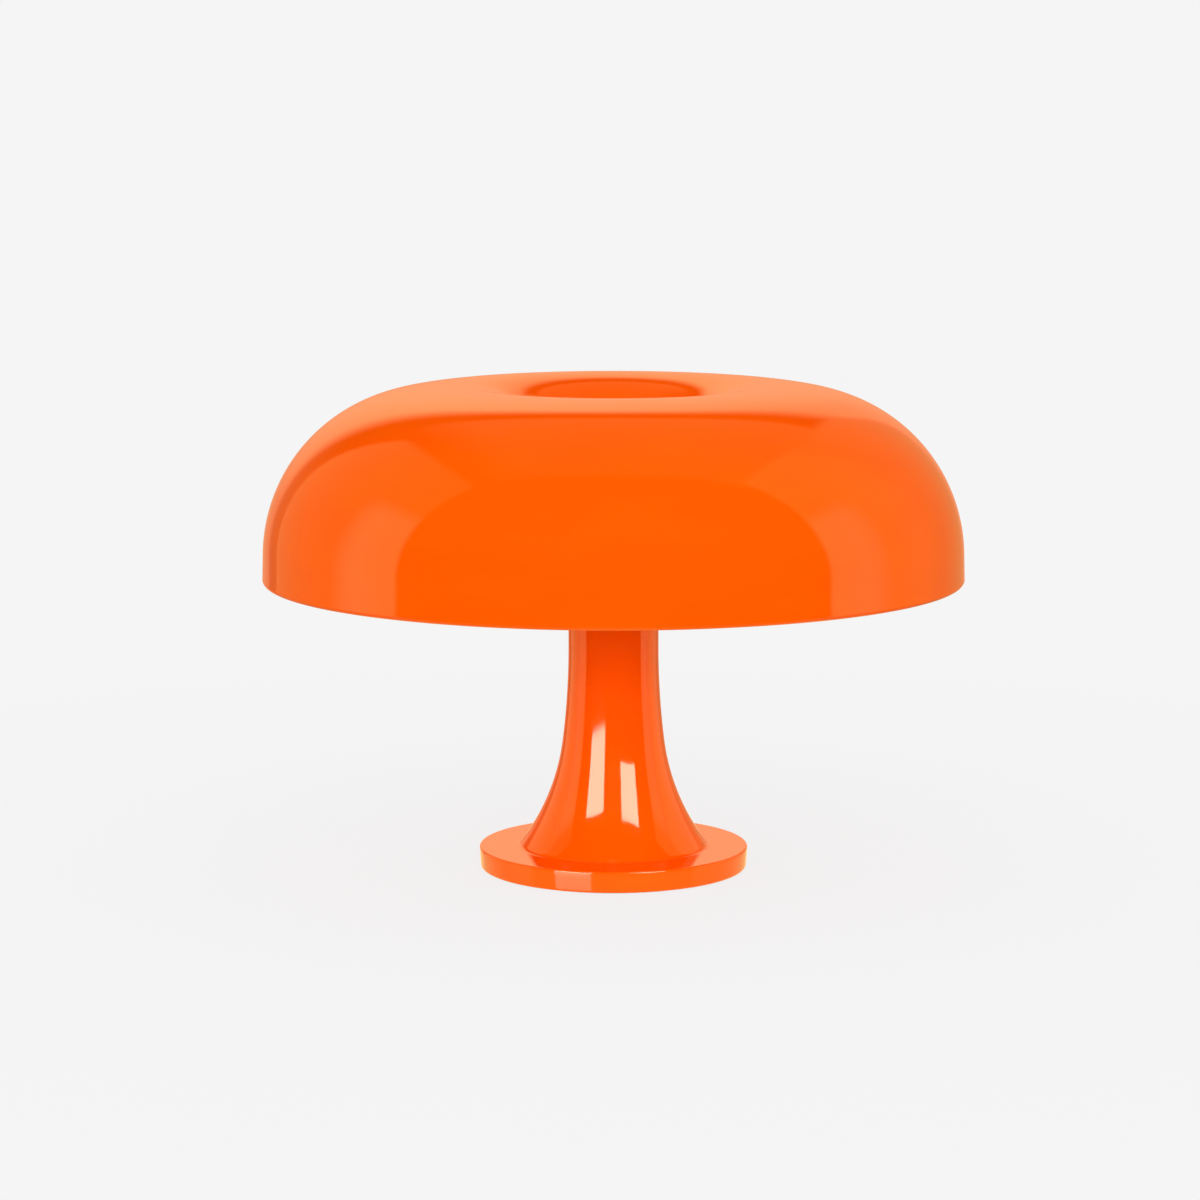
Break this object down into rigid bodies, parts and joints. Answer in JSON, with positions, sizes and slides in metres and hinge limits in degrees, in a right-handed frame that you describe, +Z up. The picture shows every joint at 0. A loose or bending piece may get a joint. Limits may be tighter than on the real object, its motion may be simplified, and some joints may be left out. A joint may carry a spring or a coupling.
{
  "type": "table lamp",
  "caption": "Mushroom table lamp: a wide domed shade with a well in its crown, on a hollow flared stem with a round foot.",
  "frame": {"origin": "on the surface the lamp stands on, at the centre of its foot, on the stem's axis", "axes": "+Z up along the stem, the front towards -Y and the cord inlet towards +Y"},
  "size_m": [0.3198, 0.3198, 0.223],
  "materials": {
    "moulding": "glossy orange moulded plastic",
    "cast_iron": "raw casting",
    "plated_steel": "zinc plated sheet",
    "pad_rubber": "matt dark rubber",
    "zinc_screw": "zinc plated",
    "black_rubber": "matt black rubber",
    "block_plastic": "natural nylon",
    "brass": "bright brass",
    "zinc_tube": "zinc plated thread",
    "hub_plastic": "pale satin heat-resistant plastic",
    "lead_sheath": "heat-resistant lead sheath",
    "holder_ceramic": "glazed ceramic",
    "holder_plastic": "pale satin heat-resistant plastic",
    "washer_steel": "zinc plated",
    "opal_glass": "opal white glass",
    "bulb_cap_metal": "nickel plated",
    "black_glass": "black vitreous insulator"
  },
  "bodies": {
    "base": {"ballast_nut": "zinc_tube", "ballast_washer": "zinc_tube", "ballast_weight": "cast_iron", "base_moulding": "moulding", "bottom_plate": "plated_steel", "bottom_plate_screws": "zinc_screw", "hub_cap": "hub_plastic", "hub_cap_screws": "zinc_screw", "hub_nut": "zinc_tube", "hub_washer": "zinc_tube", "inlet_bush": "black_rubber", "junction_block": "block_plastic", "lampholder_1": "holder_plastic", "lampholder_2": "holder_plastic", "lampholder_3": "holder_plastic", "lampholder_4": "holder_plastic", "lampholder_contacts": "brass", "lampholder_hub": "hub_plastic", "lampholder_inserts": "holder_ceramic", "lampholder_leads": "lead_sheath", "lampholder_nipples": "zinc_tube", "lampholder_shells": "brass", "nipple_nuts": "zinc_tube", "non_slip_pad": "pad_rubber", "stem_lead": "lead_sheath", "terminal_block": "block_plastic", "terminal_block_screw": "zinc_screw", "terminal_poles": "brass", "terminal_screws": "zinc_screw", "tie_tube": "zinc_tube"},
    "shade": {"shade": "moulding"},
    "shade_washer": {"shade_washer": "washer_steel"},
    "shade_nut": {"shade_nut": "moulding"},
    "bulb_1": {"bulb_1_glass": "opal_glass", "bulb_1_cap": "bulb_cap_metal", "bulb_1_insulator": "black_glass", "bulb_1_tip": "bulb_cap_metal"},
    "bulb_2": {"bulb_2_glass": "opal_glass", "bulb_2_cap": "bulb_cap_metal", "bulb_2_insulator": "black_glass", "bulb_2_tip": "bulb_cap_metal"},
    "bulb_3": {"bulb_3_glass": "opal_glass", "bulb_3_cap": "bulb_cap_metal", "bulb_3_insulator": "black_glass", "bulb_3_tip": "bulb_cap_metal"},
    "bulb_4": {"bulb_4_glass": "opal_glass", "bulb_4_cap": "bulb_cap_metal", "bulb_4_insulator": "black_glass", "bulb_4_tip": "bulb_cap_metal"}
  },
  "joints": [
    {"name": "shade_lift", "type": "slide", "parent": "base", "child": "shade", "axis": [0, 0, 1], "range_m": [0, 0.12]},
    {"name": "nut_turn", "type": "hinge", "parent": "shade", "child": "shade_washer", "pos_m": [0, 0, 0.187], "axis": [0, 0, 1], "range_deg": [0, 1440]},
    {"name": "nut_rise", "type": "slide", "parent": "shade_washer", "child": "shade_nut", "axis": [0, 0, 1], "range_m": [0, 0.008]},
    {"name": "bulb_1_out", "type": "slide", "parent": "base", "child": "bulb_1", "axis": [1, 0, 0], "range_m": [0, 0.025]},
    {"name": "bulb_2_out", "type": "slide", "parent": "base", "child": "bulb_2", "axis": [0, 1, 0], "range_m": [0, 0.025]},
    {"name": "bulb_3_out", "type": "slide", "parent": "base", "child": "bulb_3", "axis": [-1, 0, 0], "range_m": [0, 0.025]},
    {"name": "bulb_4_out", "type": "slide", "parent": "base", "child": "bulb_4", "axis": [0, -1, 0], "range_m": [0, 0.025]}
  ],
  "couplings": [
    {"joint": "nut_rise", "follows": "nut_turn", "m_per_rad": 0.00031831}
  ]
}
